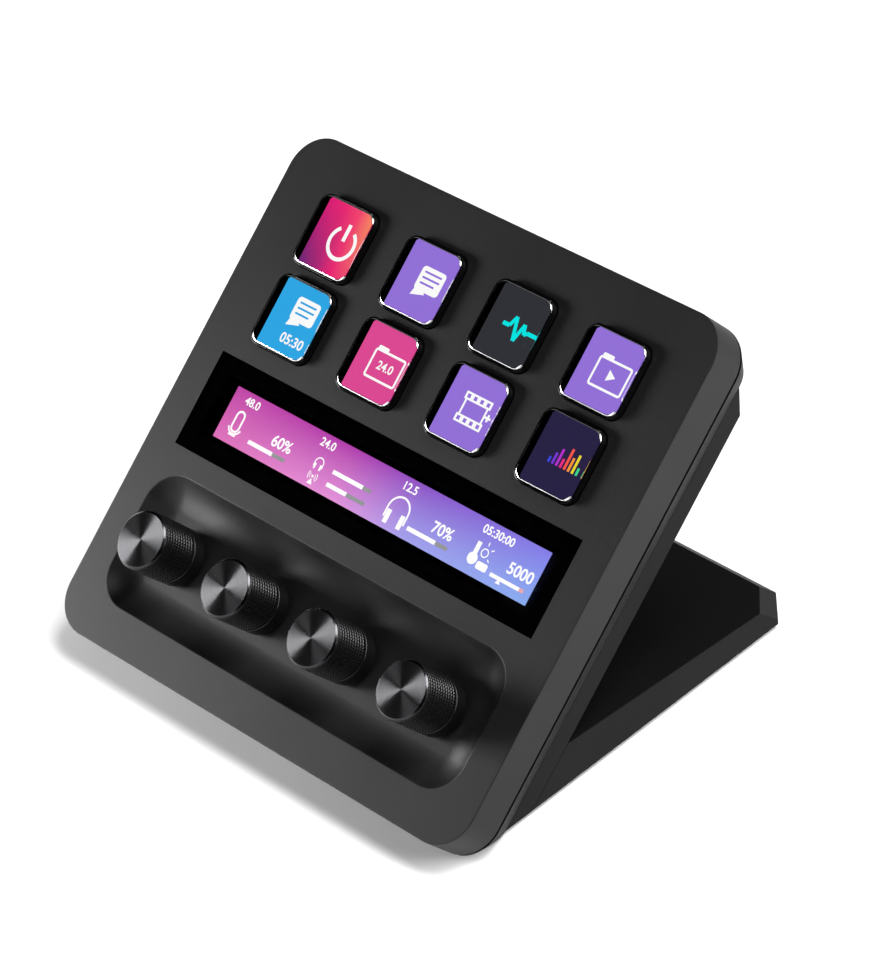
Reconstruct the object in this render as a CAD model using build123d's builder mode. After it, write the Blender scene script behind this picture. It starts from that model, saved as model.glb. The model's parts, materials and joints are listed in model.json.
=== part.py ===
"""Macro keypad: eight display keys, a touch strip and four push dials on a fixed desk stand.

The face is described in its own frame: u to the right, v up the face and w out of it,
with the zero point in the middle of the face's bottom edge. The part's frame has +Z up,
+Y to the rear and its origin under the middle of the part, on the desk.
Lengths are millimetres and angles degrees. A level is a w value: 0 on the face, less inside.
"""
from build123d import *
from math import atan2, cos, degrees, pi, radians, sin, sqrt
import os

os.makedirs("parts", exist_ok=True)

# ---- casing ----
face_width = 140.0
face_height = 134.3
corner_radius = 10.0
edge_radius = 0.3
tilt = 40.0
cover_depth = 10.4
cover_wall = 2.0
cover_plate = 1.5
seam_height = 0.5
seam_inset = 0.6
housing_depth = 7.8
housing_inset = 4.0
housing_wall = 2.2
housing_floor = 2.0
panel_gap = 0.05
fit_gap = 0.3

# ---- controls across the face: the keys stand in line with the dials ----
side_margin = 9.15
dial_count = 4
dial_end_room = 16.045
control_width = face_width - 2 * side_margin
control_pitch = (control_width - 2 * dial_end_room) / (dial_count - 1)

# ---- keys ----
key_columns = dial_count
key_rows = 2
key_pitch_v = 21.6
lower_key_row_v = 91.2
lens_width = 18.15
lens_corner = 2.8
lens_rise = 2.0
lens_bevel = 0.22
lens_flange_width = 20.4
lens_flange_height = 0.75
skirt_wall = 0.35
skirt_drop = 0.25
key_gap = 0.15
key_travel = 0.9
landing_gap = 0.15
membrane_thickness = 0.25
membrane_landing = 0.95

# ---- touch strip ----
window_width = control_width
window_height = 25.1
window_v = 64.15
window_corner = 0.4
glass_thickness = 1.4
window_ledge = 1.6
ledge_thickness = 1.1
sensor_thickness = 1.4
glass_gap = 0.1

# ---- display ----
panel_margin = 10.0
panel_width = face_width - 2 * panel_margin
panel_height = 73.0
panel_v = 89.0
panel_thickness = 1.8
backlight_thickness = 2.7
ribbon_width = 20.0
ribbon_thickness = 0.2
ribbon_reach = 2.4

# ---- chassis and boards ----
chassis_thickness = 1.6
fence_wall = 1.2
fence_height = 3.2
board_standoff = 2.3
board_thickness = 1.6
board_margin = 8.0
board_width = face_width - 2 * board_margin
board_bottom_v = 11.0
board_top_v = 97.0
board_corner = 2.0
chip_height = 1.2
chip_side = 12.0
chip_places = ((-34.0, 78.0), (34.0, 78.0), (0.0, 86.0))
connector_height = 1.3
connector_width = 3.2

# ---- dials ----
dial_v = 28.0
dish_width = control_width
dish_height = 35.0
dish_corner = 9.0
dish_depth = 3.9
dish_scoop_radius = 11.0
dish_skin = 1.6
knob_radius = 7.4
knob_skirt_radius = 7.3
knob_base = -2.8
knurl_base = 1.0
knob_top = 12.35
knurl_grooves = 60
knurl_groove_depth = 0.22
knurl_groove_share = 0.4
cap_radius = 7.15
cap_face_radius = 6.75
cap_top = 12.9
cap_rim = 0.1
cap_spigot_radius = 6.2
cap_spigot_depth = 1.0
dial_travel = 0.5
shaft_radius = 3.0
shaft_grip = 10.6
spline_radius = 2.0
spline_flat = 1.5
turn_gap = 0.05
glue_gap = 0.02
bushing_radius = 3.5
bushing_gap = 0.15
encoder_width = 12.4
encoder_length = 13.2
encoder_top_wall = 1.45
encoder_corner = 0.8
rotor_radius = 5.0
rotor_thickness = 2.0
rotor_gap = 0.08
spline_tail = 1.1
button_radius = 1.2
button_base = 0.8

# ---- stand ----
stand_half_width = face_width / 2 - housing_inset
leg_thickness = 5.5
leg_top_v = 124.0
leg_bevel_drop = 4.2
foot_front_height = 11.2
foot_rear_height = 6.6
foot_rear_lip = 1.3
foot_length = 91.0
foot_corner = 7.4
foot_corner_slope = 3.9
foot_wall = 2.4
foot_edge_bevel = 0.4
plate_thickness = 2.5
plate_margin = 8.0
plate_half_width = stand_half_width - plate_margin
plate_front = 16.0
plate_length = 60.0
plate_lip = 3.0
plate_corner = 3.0
pad_height = 1.2
pad_recess = 0.6
pad_margin = 11.0
pad_width = 2 * (stand_half_width - pad_margin)
pad_depth = 8.0

# ---- cable socket ----
socket_v = 62.0
socket_width = 8.94
socket_height = 3.26
socket_shell = 0.3
socket_corner = 1.5
socket_depth = 4.4
socket_tongue_width = 6.7
socket_tongue_height = 0.7
socket_gap = 0.2
plug_recess_width = 16.0
plug_recess_height = 11.0
plug_recess_corner = 2.0

# ---- screws ----
screw_radius = 1.2
screw_head_radius = 2.3
screw_head_height = 1.5
screw_head_bevel = 0.4
cover_screw_length = 5.0
leg_screw_length = 5.0
base_screw_length = 4.0
screw_gap = 0.05
screw_slot_depth = 0.8
screw_slot_width = 0.6
screw_slot_length = 2.8
post_radius = 2.6
cover_post_u = panel_width / 2 + fence_wall + 2 * fit_gap + post_radius
cover_post_rows = (10.0, 49.0, 122.0)
board_post_inset = 4.0
board_post_u = board_width / 2 - board_post_inset
board_post_rows = (17.0, 92.0)
housing_post_u = 30.0
housing_post_rows = (17.0, 108.0)
leg_screw_u = 50.0
leg_screw_rows = (32.0, 104.0)
foot_screw_u = 36.0
foot_screw_v = 27.0
foot_screw_length = 6.5
base_screw_inset = 7.0

# ---- levels through the part, worked out from the sizes above ----
cover_inner = -cover_plate
flange_top = cover_inner - panel_gap
flange_bottom = flange_top - lens_flange_height
membrane_top = flange_bottom - key_travel - landing_gap
panel_front = membrane_top - membrane_thickness
panel_back = panel_front - panel_thickness
backlight_front = panel_back - panel_gap
backlight_back = backlight_front - backlight_thickness
chassis_front = backlight_back - panel_gap
chassis_back = chassis_front - chassis_thickness
board_front = chassis_back - board_standoff
board_back = board_front - board_thickness
cover_back = -cover_depth
housing_front = cover_back - seam_height
housing_back = cover_back - seam_height - housing_depth
housing_inside = housing_back + housing_floor
leg_front = housing_back - panel_gap
leg_back = leg_front - leg_thickness
dish_floor = -dish_depth
dish_underside = dish_floor - dish_skin
encoder_top = dish_underside - 2 * panel_gap
rotor_top = encoder_top - encoder_top_wall - panel_gap
rotor_bottom = rotor_top - rotor_thickness
shaft_shoulder = rotor_top + dial_travel + 4 * panel_gap
shaft_bottom = rotor_bottom - spline_tail
shaft_top = knob_base + shaft_grip
button_top = shaft_bottom - dial_travel - panel_gap

# ---- the tilted face above the desk ----
# The cover's lower rear edge is level with the underside, and the rubber feet lift both.
underside_z = pad_height
face_lift = cover_depth * cos(radians(tilt))


def underside_v(level):
    """The v at which the underside's plane cuts a level of the face frame."""
    return -(level * cos(radians(tilt)) + face_lift) / sin(radians(tilt))


def rear_reach(v, level):
    """How far behind the face's bottom edge a point of the face frame lies."""
    return v * cos(radians(tilt)) - level * sin(radians(tilt))


joint_y = rear_reach(underside_v(leg_back), leg_back)
rear_y = joint_y + foot_length
front_y = edge_radius * (cos(radians(tilt)) + sin(radians(tilt)) - 1)
middle_y = (front_y + rear_y) / 2

face = Plane(
    origin=(0, -middle_y, underside_z + face_lift),
    x_dir=(1, 0, 0),
    z_dir=(0, -sin(radians(tilt)), cos(radians(tilt))),
)
side = Plane(origin=face.origin, x_dir=face.y_dir, z_dir=(1, 0, 0))
desk_side = Plane(origin=(0, -middle_y, underside_z), x_dir=(0, 1, 0), z_dir=(1, 0, 0))
underside = Plane(origin=(0, -middle_y, underside_z), x_dir=(1, 0, 0), z_dir=(0, 0, 1))

face_axis = Axis(face.origin, face.z_dir)
face_middle = (0, face_height / 2)
window_middle = (0, window_v)
panel_middle = (0, panel_v)
panel_foot_v = panel_v - panel_height / 2
ribbon_v = panel_foot_v - ribbon_reach + ribbon_thickness / 2
dish_middle = (0, dial_v)
dish_reach = sqrt(dish_scoop_radius**2 - (dish_scoop_radius - dish_depth) ** 2)
dish_overhang = dish_scoop_radius - dish_reach
board_middle = (0, (board_bottom_v + board_top_v) / 2)
skirt_width = lens_width + 2 * skirt_wall
skirt_corner = lens_corner + skirt_wall
plate_middle = (0, joint_y + plate_front + plate_length / 2)
housing_foot_front = rear_reach(underside_v(housing_front), housing_front)
housing_foot_rear = rear_reach(underside_v(housing_back), housing_back)
pad_places = (
    (0, (housing_foot_front + housing_foot_rear) / 2),
    (0, joint_y + plate_front / 2),
    (0, rear_y - (foot_length - plate_front - plate_length) / 2),
)
base_screw_u = plate_half_width - base_screw_inset
base_screw_rows = (
    plate_middle[1] - plate_length / 2 + base_screw_inset,
    plate_middle[1] + plate_length / 2 - base_screw_inset,
)
base_screws_at = [(u, y) for y in base_screw_rows for u in (-base_screw_u, base_screw_u)]
key_places = [
    ((column - (key_columns - 1) / 2) * control_pitch, lower_key_row_v + row * key_pitch_v)
    for row in reversed(range(key_rows))
    for column in range(key_columns)
]
dial_places = [((index - (dial_count - 1) / 2) * control_pitch, dial_v) for index in range(dial_count)]
cover_posts = [(sign * cover_post_u, v) for sign in (-1, 1) for v in cover_post_rows]
board_posts = [(sign * board_post_u, v) for sign in (-1, 1) for v in board_post_rows]
housing_posts = [(sign * housing_post_u, v) for sign in (-1, 1) for v in housing_post_rows]
leg_screws = [(sign * leg_screw_u, v) for sign in (-1, 1) for v in leg_screw_rows]
foot_screws = [(sign * foot_screw_u, foot_screw_v) for sign in (-1, 1)]


def save(piece, name):
    """Label a finished piece and write it as its own STEP file."""
    piece.part.label = name
    export_step(piece.part, f"parts/{name}.step")


def slab(low, high, width, height, corner, places, mode=Mode.ADD, plane=face):
    """A rounded rectangular layer between two levels of a plane, at each place."""
    with BuildSketch(plane.offset(low)) as outline:
        with Locations(*places):
            RectangleRounded(width, height, corner)
    extrude(outline.sketch, amount=high - low, mode=mode)


def disc(low, high, radius, places, mode=Mode.ADD, plane=face):
    """A round layer between two levels of a plane, at each place."""
    with BuildSketch(plane.offset(low)) as outline:
        with Locations(*places):
            Circle(radius)
    extrude(outline.sketch, amount=high - low, mode=mode)


def screw_group(places, seat, tip, name, plane=face):
    """Pan-head screws with their heads on a seat level and their points at a tip level."""
    way = 1 if tip > seat else -1
    crown = seat - way * screw_head_height
    slot_end = crown + way * screw_slot_depth
    with BuildPart() as screws:
        disc(min(seat, crown), max(seat, crown), screw_head_radius, places, plane=plane)
        rims = screws.edges().filter_by(GeomType.CIRCLE)
        outer = [rim for rim in rims if abs(plane.to_local_coords(rim.center()).Z - crown) < screw_gap]
        chamfer(outer, length=screw_head_bevel)
        disc(min(seat, tip), max(seat, tip), screw_radius, places, plane=plane)
        with BuildSketch(plane.offset(min(crown, slot_end))) as cross:
            with Locations(*places):
                Rectangle(screw_slot_length, screw_slot_width)
                Rectangle(screw_slot_width, screw_slot_length)
        extrude(cross.sketch, amount=screw_slot_depth, mode=Mode.SUBTRACT)
    save(screws, name)


# ---- front cover: moulded shell with key openings, window seat and scooped dish ----

# The dish is a rounded block with a large bottom fillet; only the part below the face cuts.
with BuildPart() as dish_hollow:
    slab(
        dish_floor,
        dish_floor + dish_scoop_radius + dish_depth,
        dish_width + 2 * dish_overhang,
        dish_height + 2 * dish_overhang,
        dish_corner + dish_overhang,
        [dish_middle],
    )
    fillet(dish_hollow.edges().group_by(face_axis)[0], radius=dish_scoop_radius)

with BuildPart() as dish_shell:
    slab(
        dish_underside,
        dish_floor + dish_scoop_radius + dish_depth,
        dish_width + 2 * (dish_overhang + dish_skin),
        dish_height + 2 * (dish_overhang + dish_skin),
        dish_corner + dish_overhang + dish_skin,
        [dish_middle],
    )
    fillet(dish_shell.edges().group_by(face_axis)[0], radius=dish_scoop_radius + dish_skin)
    split(bisect_by=face.offset(cover_inner / 2), keep=Keep.BOTTOM)

seat_width = window_width - 2 * window_ledge
seat_height = window_height - 2 * window_ledge
cover_post_end = chassis_front + panel_gap

with BuildPart() as front_cover:
    slab(cover_back, 0, face_width, face_height, corner_radius, [face_middle])
    fillet(front_cover.edges().group_by(face_axis)[-1], radius=edge_radius)
    slab(
        cover_back,
        cover_inner,
        face_width - 2 * cover_wall,
        face_height - 2 * cover_wall,
        corner_radius - cover_wall,
        [face_middle],
        Mode.SUBTRACT,
    )
    slab(
        cover_inner - ledge_thickness,
        cover_inner,
        window_width + 2 * window_ledge,
        window_height + 2 * window_ledge,
        window_corner + window_ledge,
        [window_middle],
    )
    add(dish_shell.part)
    disc(cover_post_end, cover_inner, post_radius, cover_posts)
    add(dish_hollow.part, mode=Mode.SUBTRACT)
    slab(
        -glass_thickness,
        edge_radius,
        window_width,
        window_height,
        window_corner,
        [window_middle],
        Mode.SUBTRACT,
    )
    slab(
        cover_inner - ledge_thickness,
        0,
        seat_width,
        seat_height,
        window_corner,
        [window_middle],
        Mode.SUBTRACT,
    )
    slab(
        cover_inner,
        0,
        skirt_width + 2 * key_gap,
        skirt_width + 2 * key_gap,
        skirt_corner + key_gap,
        key_places,
        Mode.SUBTRACT,
    )
    disc(dish_underside, dish_floor + dish_skin, bushing_radius + bushing_gap, dial_places, Mode.SUBTRACT)
    disc(
        cover_post_end,
        cover_post_end + cover_screw_length,
        screw_radius + screw_gap,
        cover_posts,
        Mode.SUBTRACT,
    )
save(front_cover, "front_cover")

# ---- touch strip: flush glass on the cover's ledge, with the clear sensor bonded below ----

with BuildPart() as window_glass:
    slab(
        -glass_thickness,
        0,
        window_width - 2 * glass_gap,
        window_height - 2 * glass_gap,
        window_corner,
        [window_middle],
    )
save(window_glass, "window_glass")

with BuildPart() as touch_sensor:
    slab(
        -glass_thickness - sensor_thickness,
        -glass_thickness,
        seat_width - 2 * glass_gap,
        seat_height - 2 * glass_gap,
        window_corner,
        [window_middle],
    )
save(touch_sensor, "touch_sensor")

# ---- keys: a clear flanged lens in a thin glossy skirt, each in its own opening ----

for number, place in enumerate(key_places, start=1):
    with BuildPart() as key_lens:
        slab(flange_bottom, lens_rise, lens_width, lens_width, lens_corner, [place])
        chamfer(key_lens.edges().group_by(face_axis)[-1], length=lens_bevel)
        slab(flange_bottom, flange_top, lens_flange_width, lens_flange_width, lens_corner, [place])
    save(key_lens, f"key_lens_{number}")

    with BuildPart() as key_skirt:
        slab(flange_top, lens_rise - skirt_drop, skirt_width, skirt_width, skirt_corner, [place])
        slab(
            flange_top,
            lens_rise,
            lens_width + 2 * glue_gap,
            lens_width + 2 * glue_gap,
            lens_corner + glue_gap,
            [place],
            Mode.SUBTRACT,
        )
    save(key_skirt, f"key_skirt_{number}")

# ---- display stack: one panel serves the keys and the strip ----

membrane_foot_v = window_v + window_height / 2 + window_ledge
membrane_top_v = panel_v + panel_height / 2
membrane_middle = (0, (membrane_foot_v + membrane_top_v) / 2)

with BuildPart() as key_membrane:
    slab(
        panel_front,
        membrane_top,
        panel_width,
        membrane_top_v - membrane_foot_v,
        lens_corner,
        [membrane_middle],
    )
    slab(
        panel_front,
        membrane_top,
        lens_flange_width + 2 * fit_gap,
        lens_flange_width - 2 * membrane_landing,
        lens_corner,
        key_places,
        Mode.SUBTRACT,
    )
save(key_membrane, "key_membrane")

with BuildPart() as display_panel:
    slab(panel_back, panel_front, panel_width, panel_height, glass_gap, [panel_middle])
save(display_panel, "display_panel")

with BuildPart() as backlight:
    slab(backlight_back, backlight_front, panel_width, panel_height, glass_gap, [panel_middle])
save(backlight, "backlight")

ribbon_level = panel_back + ribbon_thickness
connector_top = board_front + connector_height
with BuildPart() as display_ribbon:
    with BuildSketch(side):
        Polygon(
            (panel_foot_v, ribbon_level + ribbon_thickness),
            (panel_foot_v - ribbon_reach, ribbon_level + ribbon_thickness),
            (panel_foot_v - ribbon_reach, connector_top),
            (panel_foot_v - ribbon_reach + ribbon_thickness, connector_top),
            (panel_foot_v - ribbon_reach + ribbon_thickness, ribbon_level),
            (panel_foot_v, ribbon_level),
            align=None,
        )
    extrude(amount=ribbon_width / 2, both=True)
save(display_ribbon, "display_ribbon")

# ---- chassis: carries the display stack, screws to the cover's posts ----

encoder_opening = encoder_length + 4 * fit_gap
with BuildPart() as chassis:
    slab(
        chassis_back,
        chassis_front,
        face_width - 2 * (cover_wall + fit_gap),
        face_height - 2 * (cover_wall + fit_gap),
        corner_radius - cover_wall - fit_gap,
        [face_middle],
    )
    slab(
        chassis_front,
        chassis_front + fence_height,
        panel_width + 2 * (fit_gap + fence_wall),
        panel_height + 2 * (fit_gap + fence_wall),
        glass_gap + fence_wall,
        [panel_middle],
    )
    slab(
        chassis_front,
        chassis_front + fence_height,
        panel_width + 2 * fit_gap,
        panel_height + 2 * fit_gap,
        glass_gap,
        [panel_middle],
        Mode.SUBTRACT,
    )
    disc(board_front, chassis_back, post_radius, board_posts + housing_posts)
    slab(
        chassis_back,
        chassis_front + fence_height,
        ribbon_width + 2 * fit_gap,
        2 * (ribbon_reach + fit_gap),
        glass_gap,
        [(0, panel_foot_v)],
        Mode.SUBTRACT,
    )
    slab(
        chassis_back,
        chassis_front,
        encoder_opening,
        encoder_opening,
        encoder_corner,
        dial_places,
        Mode.SUBTRACT,
    )
    disc(chassis_back, chassis_front, screw_radius + screw_gap, cover_posts, Mode.SUBTRACT)
    disc(
        board_front,
        (chassis_back + chassis_front) / 2,
        screw_radius + screw_gap,
        board_posts + housing_posts,
        Mode.SUBTRACT,
    )
save(chassis, "chassis")

# ---- main board ----

with BuildPart() as main_board:
    slab(board_back, board_front, board_width, board_top_v - board_bottom_v, board_corner, [board_middle])
    slab(board_back - chip_height, board_back, chip_side, chip_side, board_corner / 2, chip_places)
    slab(
        board_front,
        connector_top,
        ribbon_width + connector_width,
        connector_width,
        glass_gap,
        [(0, ribbon_v)],
    )
    disc(board_back, board_front, screw_radius + screw_gap, board_posts, Mode.SUBTRACT)
    disc(board_back, board_front, post_radius + fit_gap, housing_posts, Mode.SUBTRACT)
save(main_board, "main_board")

# ---- cable socket: stands on the board's rear and looks out of the housing ----

socket_mouth = housing_back + panel_gap
with BuildPart() as usb_c_socket:
    slab(socket_mouth, board_back, socket_width, socket_height, socket_corner, [(0, socket_v)])
    slab(
        socket_mouth,
        socket_mouth + socket_depth,
        socket_width - 2 * socket_shell,
        socket_height - 2 * socket_shell,
        socket_corner - socket_shell,
        [(0, socket_v)],
        Mode.SUBTRACT,
    )
    slab(
        socket_mouth + socket_shell,
        socket_mouth + socket_depth,
        socket_tongue_width,
        socket_tongue_height,
        socket_tongue_height / 3,
        [(0, socket_v)],
    )
save(usb_c_socket, "usb_c_socket")

# ---- dials: fixed encoder and switch, turning rotor, sliding shaft with its knob ----

cavity_top = encoder_top - encoder_top_wall
switch_top = rotor_bottom - panel_gap
cap_foot = knob_top + glue_gap
cap_slope = degrees(atan2(cap_radius - cap_face_radius, cap_top - cap_foot - cap_rim))
groove_width = 2 * pi * knob_radius / knurl_grooves * knurl_groove_share

for number, place in enumerate(dial_places, start=1):
    with BuildPart() as encoder_housing:
        slab(board_front, encoder_top, encoder_width, encoder_length, encoder_corner, [place])
        disc(encoder_top, dish_floor, bushing_radius, [place])
        disc(board_front, cavity_top, rotor_radius + rotor_gap, [place], Mode.SUBTRACT)
        disc(cavity_top, dish_floor, shaft_radius + turn_gap, [place], Mode.SUBTRACT)
    save(encoder_housing, f"encoder_housing_{number}")

    with BuildPart() as encoder_rotor:
        disc(rotor_bottom, rotor_top, rotor_radius, [place])
        with BuildSketch(face.offset(rotor_bottom)):
            with Locations(place):
                Circle(spline_radius + turn_gap)
                Rectangle(
                    2 * (spline_radius + turn_gap), 2 * (spline_flat + turn_gap), mode=Mode.INTERSECT
                )
        extrude(amount=rotor_thickness, mode=Mode.SUBTRACT)
    save(encoder_rotor, f"encoder_rotor_{number}")

    with BuildPart() as encoder_shaft:
        disc(shaft_shoulder, shaft_top, shaft_radius, [place])
        with BuildSketch(face.offset(shaft_bottom)):
            with Locations(place):
                Circle(spline_radius)
                Rectangle(2 * spline_radius, 2 * spline_flat, mode=Mode.INTERSECT)
        extrude(amount=shaft_shoulder - shaft_bottom)
    save(encoder_shaft, f"encoder_shaft_{number}")

    with BuildPart() as knob_body:
        with BuildSketch(face.offset(knurl_base)):
            with Locations(place):
                Circle(knob_radius)
                with PolarLocations(knob_radius, knurl_grooves):
                    Rectangle(2 * knurl_groove_depth, groove_width, mode=Mode.SUBTRACT)
        extrude(amount=knob_top - knurl_base)
        disc(knob_base, knurl_base, knob_skirt_radius, [place])
        disc(knob_base, shaft_top + glue_gap, shaft_radius + glue_gap, [place], Mode.SUBTRACT)
        cap_pocket = knob_top - cap_spigot_depth - glue_gap
        disc(cap_pocket, knob_top, cap_spigot_radius + glue_gap, [place], Mode.SUBTRACT)
    save(knob_body, f"knob_body_{number}")

    with BuildPart() as knob_cap:
        disc(knob_top - cap_spigot_depth, cap_foot, cap_spigot_radius, [place])
        disc(cap_foot, cap_foot + cap_rim, cap_radius, [place])
        with BuildSketch(face.offset(cap_foot + cap_rim)):
            with Locations(place):
                Circle(cap_radius)
        extrude(amount=cap_top - cap_foot - cap_rim, taper=cap_slope)
    save(knob_cap, f"knob_cap_{number}")

with BuildPart() as press_switches:
    disc(board_front, switch_top, rotor_radius + rotor_gap - glue_gap, dial_places)
    disc(board_front + button_base, switch_top, shaft_radius, dial_places, Mode.SUBTRACT)
    disc(board_front + button_base, button_top, button_radius, dial_places)
save(press_switches, "press_switches")

# ---- rear housing: tapers behind the shadow seam and is cut level with the underside ----


def housing_outline_inset(level):
    """How far the housing's outside lies inside the face's outline at a level."""
    return housing_inset * (housing_front - level) / housing_depth


def cavity_outline(level, extra):
    """Width, height and middle of the housing's inside at a level."""
    inset = housing_outline_inset(level) + housing_wall + extra
    foot_v = underside_v(level) + housing_wall / sin(radians(tilt))
    top_v = face_height - inset
    return face_width - 2 * inset, top_v - foot_v, (0, (foot_v + top_v) / 2)


front_cavity = cavity_outline(housing_front, seam_inset)
rear_cavity = cavity_outline(housing_inside, 0)
housing_seat = housing_back + screw_head_height + screw_gap

with BuildPart() as rear_housing:
    with BuildSketch(face.offset(housing_front)):
        with Locations(face_middle):
            RectangleRounded(face_width, face_height, corner_radius)
    with BuildSketch(face.offset(housing_back)):
        with Locations(face_middle):
            RectangleRounded(
                face_width - 2 * housing_inset,
                face_height - 2 * housing_inset,
                corner_radius - housing_inset,
            )
    loft(ruled=True)
    slab(
        housing_front,
        cover_back - panel_gap,
        face_width - 2 * seam_inset,
        face_height - 2 * seam_inset,
        corner_radius - seam_inset,
        [face_middle],
    )
    split(bisect_by=underside, keep=Keep.TOP)
    with BuildSketch(face.offset(housing_front)):
        with Locations(front_cavity[2]):
            RectangleRounded(front_cavity[0], front_cavity[1], corner_radius - seam_inset - housing_wall)
    with BuildSketch(face.offset(housing_inside)):
        with Locations(rear_cavity[2]):
            RectangleRounded(rear_cavity[0], rear_cavity[1], corner_radius - housing_inset - housing_wall)
    loft(ruled=True, mode=Mode.SUBTRACT)
    slab(
        housing_front,
        cover_back,
        front_cavity[0],
        front_cavity[1],
        corner_radius - seam_inset - housing_wall,
        [front_cavity[2]],
        Mode.SUBTRACT,
    )
    disc(housing_inside, board_front - panel_gap, post_radius, housing_posts)
    disc(housing_back, board_front, screw_radius + screw_gap, housing_posts, Mode.SUBTRACT)
    disc(housing_back, housing_seat, screw_head_radius + screw_gap, housing_posts, Mode.SUBTRACT)
    disc(housing_back, housing_inside, screw_radius + screw_gap, leg_screws, Mode.SUBTRACT)
    slab(
        housing_back,
        housing_inside,
        socket_width + 2 * socket_gap,
        socket_height + 2 * socket_gap,
        socket_corner + socket_gap,
        [(0, socket_v)],
        Mode.SUBTRACT,
    )
    slab(0, pad_recess, pad_width, pad_depth, pad_recess, pad_places[:1], Mode.SUBTRACT, underside)
save(rear_housing, "rear_housing")

# ---- stand: a leg plate behind the housing and a hollow foot behind the leg ----

foot_seat = leg_front - screw_head_height - screw_gap
with BuildPart() as stand_leg:
    with BuildSketch(side):
        Polygon(
            (underside_v(leg_front), leg_front),
            (underside_v(leg_back), leg_back),
            (leg_top_v - leg_bevel_drop, leg_back),
            (leg_top_v, leg_front),
            align=None,
        )
    extrude(amount=stand_half_width, both=True)
    back_corners = stand_leg.edges().filter_by(Axis(face.origin, face.y_dir)).group_by(face_axis)[0]
    chamfer(back_corners, length=foot_edge_bevel)
    slab(
        leg_back,
        leg_front,
        plug_recess_width,
        plug_recess_height,
        plug_recess_corner,
        [(0, socket_v)],
        Mode.SUBTRACT,
    )
    disc(leg_front - leg_screw_length, leg_front, screw_radius + screw_gap, leg_screws, Mode.SUBTRACT)
    disc(leg_back, leg_front, screw_radius + screw_gap, foot_screws, Mode.SUBTRACT)
    disc(foot_seat, leg_front, screw_head_radius + screw_gap, foot_screws, Mode.SUBTRACT)
save(stand_leg, "stand_leg")

base_seat = screw_head_height + screw_gap
foot_rise = foot_rear_height - foot_rear_lip
foot_start = joint_y + panel_gap / sin(radians(tilt))
foot_crest_y = foot_start + foot_front_height * cos(radians(tilt)) / sin(radians(tilt))
foot_rear_top_y = rear_y - foot_rise


def foot_top(y):
    """Height of the foot's sloping top above the underside."""
    share = (y - foot_crest_y) / (foot_rear_top_y - foot_crest_y)
    return foot_front_height + share * (foot_rear_height - foot_front_height)


cavity_front_y = plate_middle[1] - plate_length / 2 + plate_lip
cavity_rear_y = plate_middle[1] + plate_length / 2 - plate_lip
with BuildPart() as stand_foot:
    with BuildSketch(desk_side):
        Polygon(
            (foot_start, 0),
            (rear_y, 0),
            (rear_y, foot_rear_lip),
            (foot_rear_top_y, foot_rear_height),
            (foot_crest_y, foot_front_height),
            align=None,
        )
    extrude(amount=stand_half_width, both=True)
    for sign in (-1, 1):
        corner = underside.origin + Vector(sign * stand_half_width, rear_y - foot_corner, foot_rear_lip)
        split(bisect_by=Plane(corner, z_dir=(sign, 1, 0)), keep=Keep.BOTTOM)
        slope = (sign * foot_rise / sqrt(2), foot_rise / sqrt(2), foot_corner_slope)
        split(bisect_by=Plane(corner, z_dir=slope), keep=Keep.BOTTOM)
    lip_top = underside_z + foot_rear_lip
    side_edges = [
        edge
        for edge in stand_foot.edges().filter_by(GeomType.LINE)
        if abs(abs(edge.center().X) - stand_half_width) < panel_gap and edge.center().Z > lip_top
    ]
    chamfer(side_edges, length=foot_edge_bevel)
    with BuildSketch(desk_side):
        Polygon(
            (cavity_front_y, 0),
            (cavity_rear_y, 0),
            (cavity_rear_y, foot_top(cavity_rear_y) - foot_wall),
            (cavity_front_y, foot_top(cavity_front_y) - foot_wall),
            align=None,
        )
    extrude(amount=plate_half_width - plate_lip, both=True, mode=Mode.SUBTRACT)
    for row in base_screw_rows:
        row_places = [place for place in base_screws_at if place[1] == row]
        disc(plate_thickness, foot_top(row) - foot_wall / 2, post_radius, row_places, plane=underside)
    slab(
        0,
        plate_thickness,
        2 * (plate_half_width + glass_gap),
        plate_length + 2 * glass_gap,
        plate_corner + glass_gap,
        [plate_middle],
        Mode.SUBTRACT,
        underside,
    )
    disc(
        0,
        base_seat + base_screw_length,
        screw_radius + screw_gap,
        base_screws_at,
        Mode.SUBTRACT,
        underside,
    )
    disc(foot_seat - foot_screw_length, leg_back, screw_radius + screw_gap, foot_screws, Mode.SUBTRACT)
    slab(0, pad_recess, pad_width, pad_depth, pad_recess, pad_places[1:], Mode.SUBTRACT, underside)
save(stand_foot, "stand_foot")

with BuildPart() as base_plate:
    slab(
        0,
        plate_thickness - glue_gap,
        2 * plate_half_width,
        plate_length,
        plate_corner,
        [plate_middle],
        plane=underside,
    )
    disc(0, plate_thickness, screw_radius + screw_gap, base_screws_at, Mode.SUBTRACT, underside)
    disc(0, base_seat, screw_head_radius + screw_gap, base_screws_at, Mode.SUBTRACT, underside)
save(base_plate, "base_plate")

with BuildPart() as rubber_feet:
    slab(
        -pad_height,
        pad_recess - glue_gap,
        pad_width - 2 * glass_gap,
        pad_depth - 2 * glass_gap,
        pad_recess,
        pad_places,
        plane=underside,
    )
save(rubber_feet, "rubber_feet")

# ---- screws ----

board_screw_tip = (chassis_back + chassis_front) / 2 - screw_gap
screw_group(cover_posts, chassis_back, chassis_back + cover_screw_length, "chassis_screws")
screw_group(board_posts, board_back, board_screw_tip, "board_screws")
screw_group(housing_posts, housing_seat, board_screw_tip, "housing_screws")
screw_group(leg_screws, housing_inside, housing_inside - leg_screw_length, "leg_screws")
screw_group(foot_screws, foot_seat, foot_seat - foot_screw_length + screw_gap, "foot_screws")
screw_group(base_screws_at, base_seat, base_seat + base_screw_length - screw_gap, "base_screws", underside)
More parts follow.
